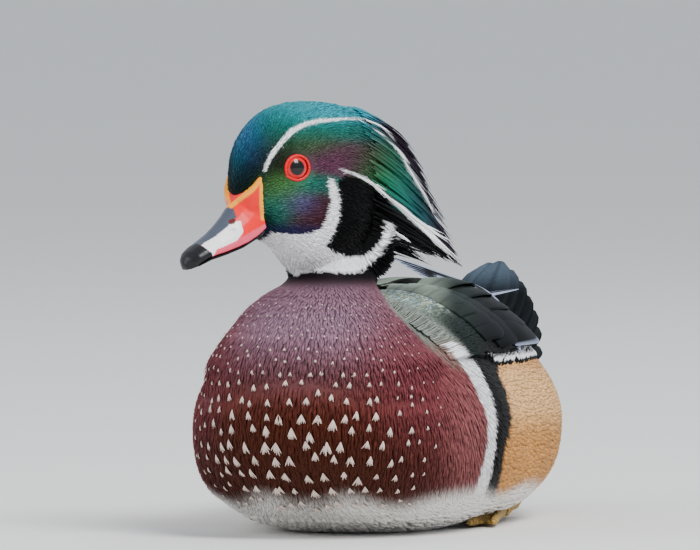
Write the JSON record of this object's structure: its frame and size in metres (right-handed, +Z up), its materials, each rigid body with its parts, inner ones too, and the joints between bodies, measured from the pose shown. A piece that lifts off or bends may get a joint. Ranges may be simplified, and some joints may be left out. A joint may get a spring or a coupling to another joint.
{
  "type": "wood duck drake, life-size still model",
  "caption": "Life-size still model of a wood duck drake afloat and at rest, sitting on its belly with the head turned to one side.",
  "frame": {"origin": "on the floor, in the middle of the flat under the belly", "axes": "+X towards the breast, +Y towards the bird's left, +Z up"},
  "size_m": [0.3348, 0.127, 0.1721],
  "materials": {
    "breast_feather": "soft maroon breast feathers with white spots, tan flanks and a white belly",
    "head_feather": "glossy green and purple head feathers with white lines",
    "crest_feather": "long glossy dark crest feathers with white lines",
    "flight_feather": "dark blue-black wing feathers with a silver edge",
    "tail_feather": "blue-black tail feathers with a satin gloss",
    "bill_horn": "satin red, yellow, white and black bill",
    "jaw_horn": "satin black lower bill",
    "eye_glass": "wet, shining red eye with a black pupil",
    "lid_skin": "bare red skin",
    "foot_skin": "scaled dull yellow skin"
  },
  "bodies": {
    "root": {"torso": "breast_feather", "neck": "breast_feather", "head": "head_feather", "crest": "crest_feather", "bill_upper": "bill_horn", "bill_lower": "jaw_horn", "eye_left": "eye_glass", "eye_right": "eye_glass", "eye_ring_left": "lid_skin", "eye_ring_right": "lid_skin", "wing_left": "flight_feather", "wing_right": "flight_feather", "tail": "tail_feather", "leg_left": "foot_skin", "leg_right": "foot_skin", "foot_left": "foot_skin", "foot_right": "foot_skin"}
  },
  "joints": []
}
